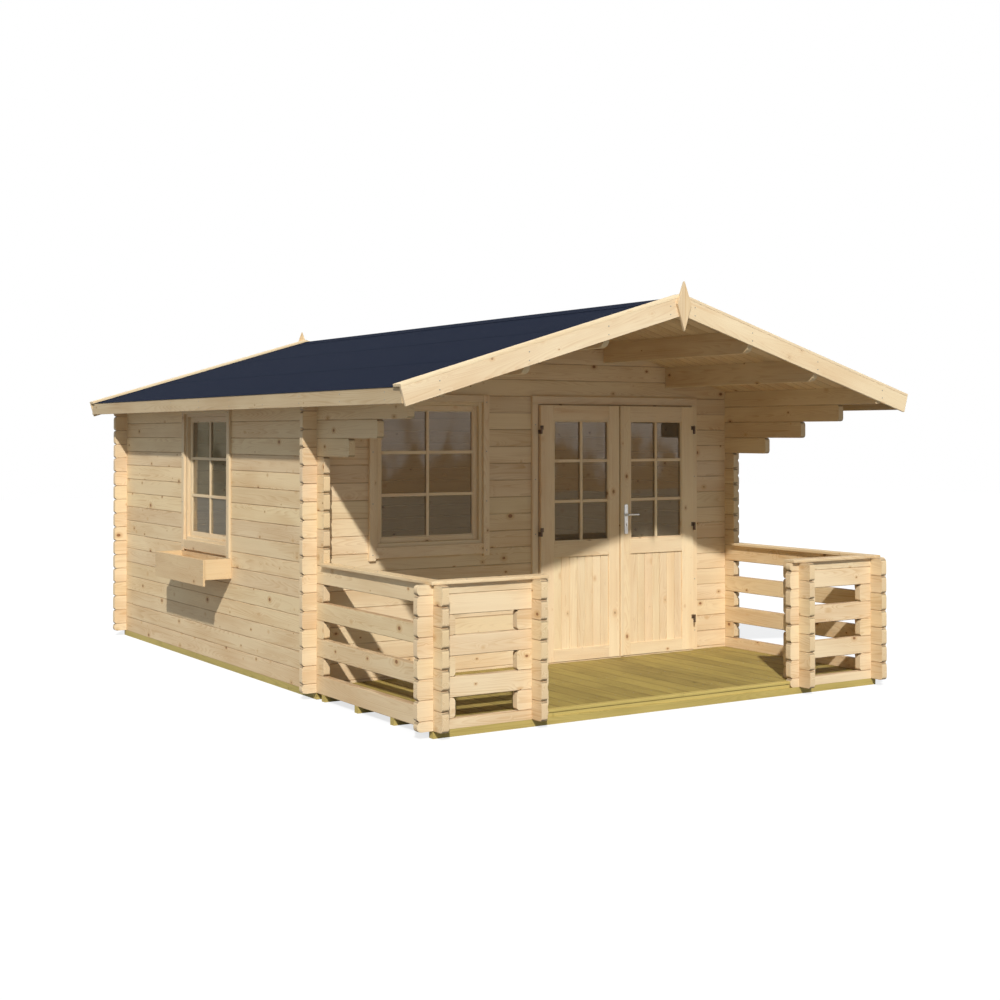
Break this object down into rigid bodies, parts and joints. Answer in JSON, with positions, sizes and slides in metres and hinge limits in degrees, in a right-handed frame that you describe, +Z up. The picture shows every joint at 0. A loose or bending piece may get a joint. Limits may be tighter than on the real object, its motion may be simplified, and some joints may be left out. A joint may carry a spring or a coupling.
{
  "type": "log cabin",
  "caption": "Garden log cabin of interlocking planed logs with a felted pitched roof, a covered veranda with log rails, a double door, windows and a flower box.",
  "frame": {"origin": "centre of the whole plan, at ground level under the base beams", "axes": "+X to the right as one faces the veranda, +Y from the veranda to the back wall, +Z up"},
  "size_m": [4.12, 5.628, 2.7247],
  "materials": {
    "spruce_logs": "planed, unpainted spruce",
    "spruce_boards": "planed, unpainted spruce boards",
    "joinery": "planed, unpainted window and door timber",
    "roof_timber": "planed, unpainted spruce under the roof",
    "treated_deck": "grooved, pressure-treated deck boards",
    "treated_beam": "sawn, pressure-treated beams",
    "roofing_felt": "mineral-surfaced bitumen felt",
    "pane_glass": "clear",
    "handle_metal": "satin",
    "hinge_metal": "dark, satin"
  },
  "bodies": {
    "cabin": {"cross_beams": "treated_beam", "side_beams": "treated_beam", "room_floor": "roof_timber", "veranda_deck": "treated_deck", "deck_edge_board": "treated_deck", "left_wall": "spruce_logs", "right_wall": "spruce_logs", "back_wall": "spruce_logs", "back_gable": "spruce_logs", "front_wall_left": "spruce_logs", "front_wall_right": "spruce_logs", "front_gable": "spruce_logs", "left_side_rail": "spruce_logs", "right_side_rail": "spruce_logs", "left_front_rail": "spruce_logs", "right_front_rail": "spruce_logs", "entrance_posts": "spruce_logs", "left_handrail": "spruce_boards", "right_handrail": "spruce_boards", "left_purlins": "roof_timber", "right_purlins": "roof_timber", "left_roof_boards": "roof_timber", "right_roof_boards": "roof_timber", "left_roof_felt": "roofing_felt", "right_roof_felt": "roofing_felt", "eave_fascias": "spruce_boards", "front_bargeboards": "spruce_boards", "back_bargeboards": "spruce_boards", "finials": "spruce_boards", "door_frame": "joinery", "door_trim": "joinery", "door_hinge_pins": "hinge_metal", "window_frames": "joinery", "front_window_glass": "pane_glass", "side_window_glass": "pane_glass", "window_trim": "joinery", "flower_box": "spruce_boards"},
    "left_door": {"left_door_leaf": "joinery", "left_door_glass": "pane_glass", "left_door_hinges": "hinge_metal"},
    "right_door": {"right_door_leaf": "joinery", "right_door_glass": "pane_glass", "right_door_hinges": "hinge_metal", "lock_plates": "handle_metal"},
    "door_lever": {"door_lever": "handle_metal"}
  },
  "joints": [
    {"name": "left_door_hinge", "type": "hinge", "parent": "cabin", "child": "left_door", "pos_m": [-0.033, -1.249, 1], "axis": [0, 0, -1], "range_deg": [0, 105]},
    {"name": "right_door_hinge", "type": "hinge", "parent": "cabin", "child": "right_door", "pos_m": [1.399, -1.249, 1], "axis": [0, 0, 1], "range_deg": [0, 105]},
    {"name": "door_lever_turn", "type": "hinge", "parent": "right_door", "child": "door_lever", "pos_m": [0.7398, -1.25, 1.15], "axis": [0, 1, 0], "range_deg": [0, 40], "stiffness_Nm_per_rad": 1, "springref_deg": -28.65}
  ]
}
